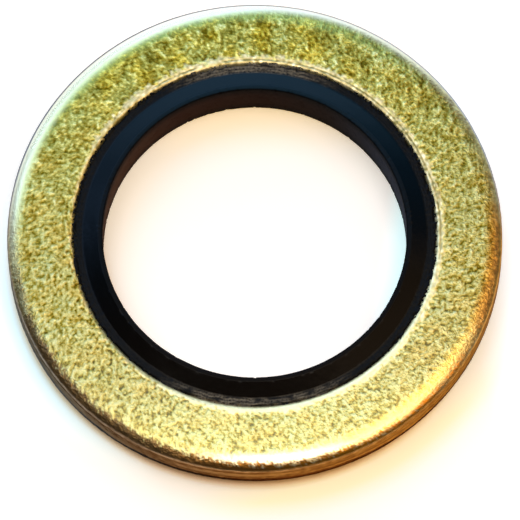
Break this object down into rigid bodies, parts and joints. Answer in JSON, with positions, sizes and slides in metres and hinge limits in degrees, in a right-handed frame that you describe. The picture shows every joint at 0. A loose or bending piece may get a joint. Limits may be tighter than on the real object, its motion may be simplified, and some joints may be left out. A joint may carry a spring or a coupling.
{
  "type": "bonded sealing washer",
  "caption": "Flat steel washer with a rubber ring bonded in its hole, whose raised lips seal under a screw head when the steel is clamped.",
  "frame": {"origin": "centre of the plane that the washer rests on, which touches the crest of its lower lip", "axes": "+Z along the bore axis, X and Y along radii, all alike"},
  "size_m": [0.011, 0.011, 0.0012],
  "materials": {
    "yellow_zinc_steel": "grit-blasted steel, zinc plated with yellow passivation, smooth rolled edges",
    "nitrile_rubber": "moulded black nitrile rubber, satin on the lip and matt on the land"
  },
  "bodies": {
    "root": {"steel_ring": "yellow_zinc_steel", "rubber_seal": "nitrile_rubber"}
  },
  "joints": []
}
